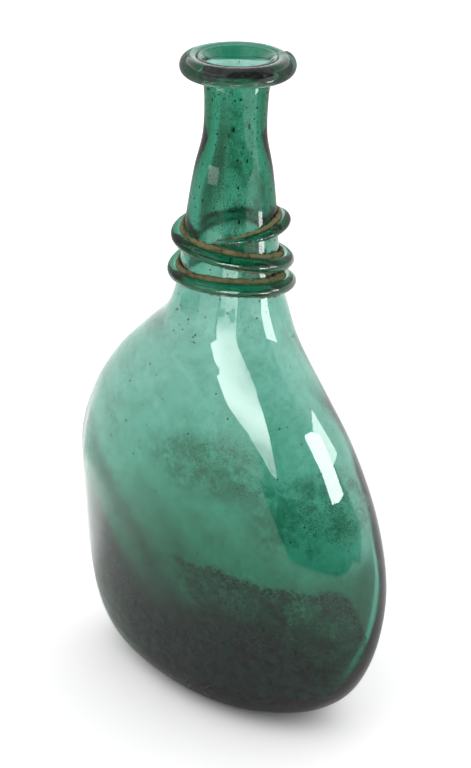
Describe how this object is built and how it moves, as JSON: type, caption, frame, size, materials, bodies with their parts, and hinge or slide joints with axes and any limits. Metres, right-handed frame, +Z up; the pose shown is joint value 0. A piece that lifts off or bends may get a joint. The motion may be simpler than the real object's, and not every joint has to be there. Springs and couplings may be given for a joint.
{
  "type": "saddle flask",
  "caption": "Flattened free-blown green glass flask with a tall narrow neck, a coiled mouth ring, a wound glass thread and a hollow saddle side.",
  "frame": {"origin": "on the floor, under the middle of the whole flask", "axes": "+Z up through the mouth, X along the width with +X to the near, low-bellied end, +Y towards the hollow saddle side"},
  "size_m": [0.1406, 0.0552, 0.2395],
  "materials": {
    "body_glass": "glossy, seedy, with old deposits inside",
    "coil_glass": "glossy, fire-polished",
    "thread_glass": "glossy, with earth in its crevices",
    "scar_glass": "rough, broken",
    "earth_crust": "matt, crumbly"
  },
  "bodies": {
    "root": {"flask_body": "body_glass", "mouth_ring": "coil_glass", "neck_thread": "thread_glass", "pontil_scar": "scar_glass"}
  },
  "joints": []
}
